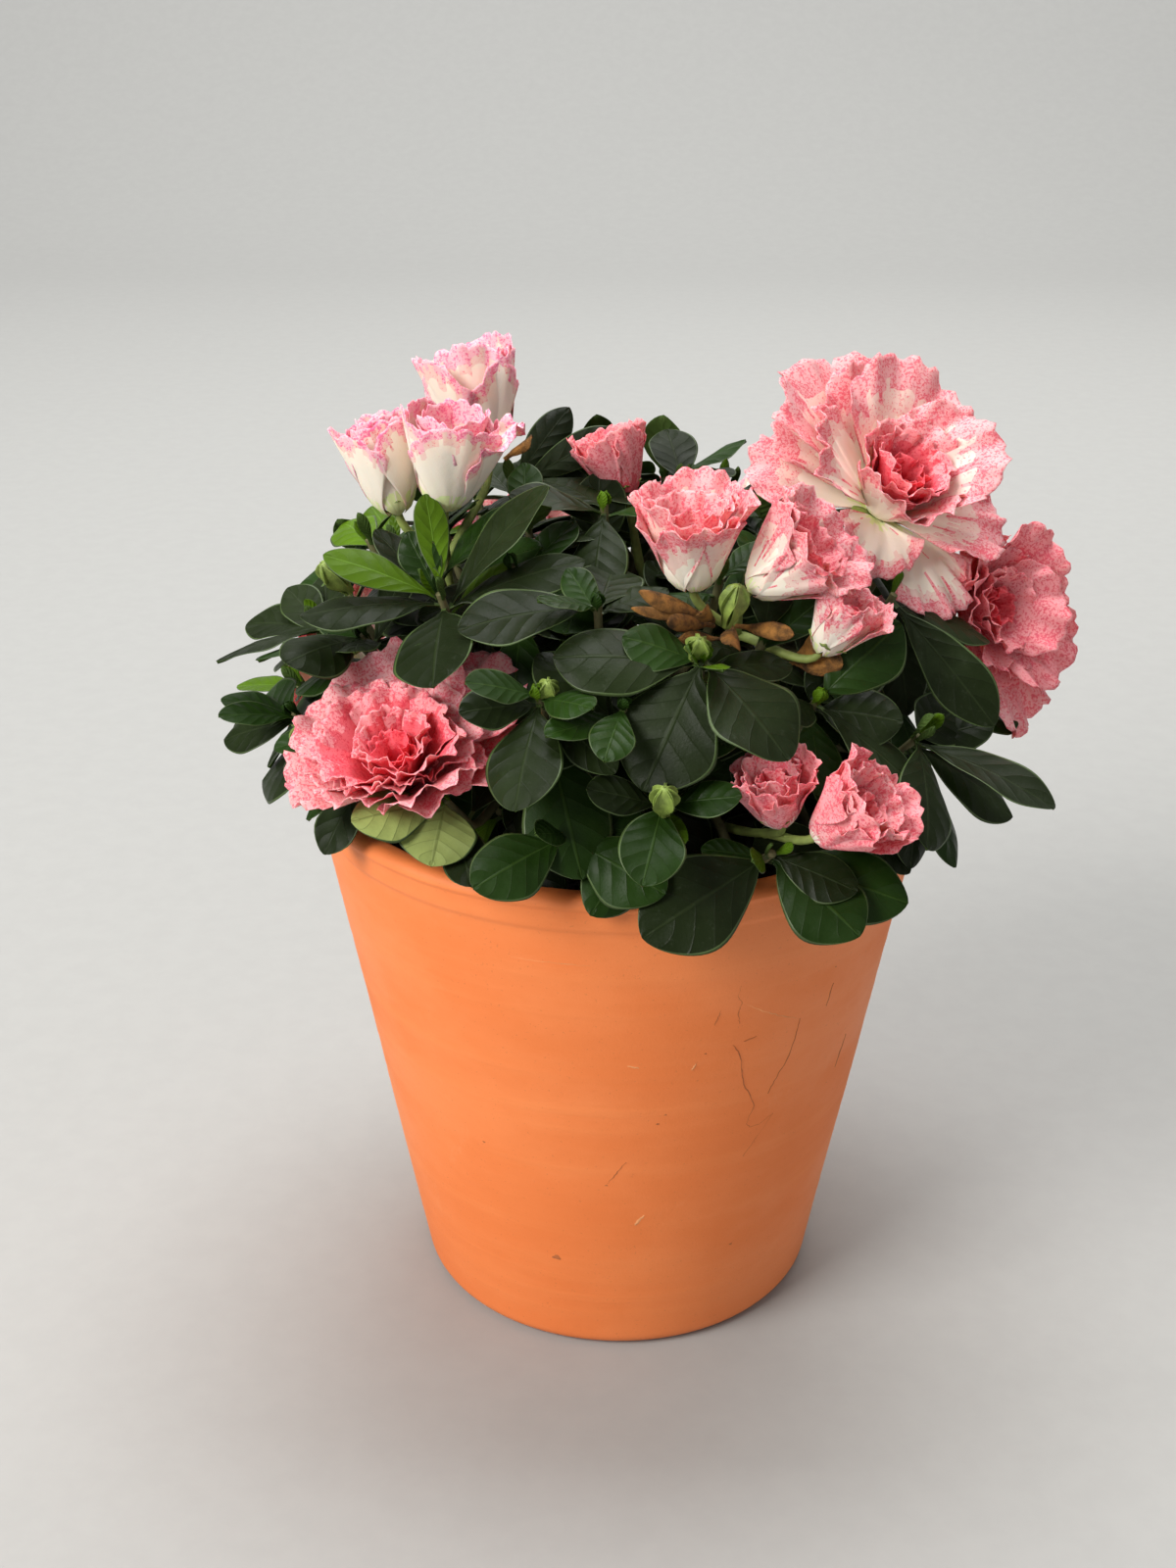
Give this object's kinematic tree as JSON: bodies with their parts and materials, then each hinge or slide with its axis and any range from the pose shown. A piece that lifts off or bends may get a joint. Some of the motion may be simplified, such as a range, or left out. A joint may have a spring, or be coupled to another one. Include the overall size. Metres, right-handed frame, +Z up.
{
  "type": "potted azalea shrub",
  "caption": "Small evergreen azalea shrub with a rounded crown of glossy leaves and ruffled two-tone blooms, growing in a plain tapered terracotta pot.",
  "frame": {"origin": "middle of the pot's flat underside", "axes": "+Z up along the pot's axis, -Y towards the front of the plant, +X to its right as seen from the front"},
  "size_m": [0.1988, 0.1788, 0.2391],
  "materials": {
    "terracotta": "matt fired clay",
    "peat": "crumbly peat",
    "bark": "rough bark",
    "leaf": "glossy evergreen leaf",
    "petal": "soft matt petal"
  },
  "bodies": {
    "root": {"pot": "terracotta", "root_ball": "peat", "stem": "bark", "bough_left_top": "bark", "bough_left_side": "bark", "bough_left_rim": "bark", "bough_top": "bark", "bough_centre": "bark", "bough_front": "bark", "bough_front_low": "bark", "bough_right_rim": "bark", "bough_right_top": "bark", "bough_right_side": "bark", "bough_back_left": "bark", "bough_back_top": "bark", "bough_back_right": "bark", "bough_back_low_left": "bark", "bough_back_low": "bark", "bough_back_low_right": "bark", "foliage_left_top": "leaf", "foliage_left_side": "leaf", "foliage_left_rim": "leaf", "foliage_top": "leaf", "foliage_centre": "leaf", "foliage_front": "leaf", "foliage_front_low": "leaf", "foliage_right_rim": "leaf", "foliage_right_top": "leaf", "foliage_right_side": "leaf", "foliage_back_left": "leaf", "foliage_back_top": "leaf", "foliage_back_right": "leaf", "foliage_back_low_left": "leaf", "foliage_back_low": "leaf", "foliage_back_low_right": "leaf", "blossom_left_top": "petal", "blossom_top": "petal", "blossom_centre": "petal", "blossom_right_top": "petal", "blossom_right_side": "petal", "blossom_right_rim": "petal", "blossom_left_low": "petal", "blossom_back_left": "petal", "blossom_back_right": "petal", "blossom_back_low": "petal", "blossom_back_side": "petal"}
  },
  "joints": []
}
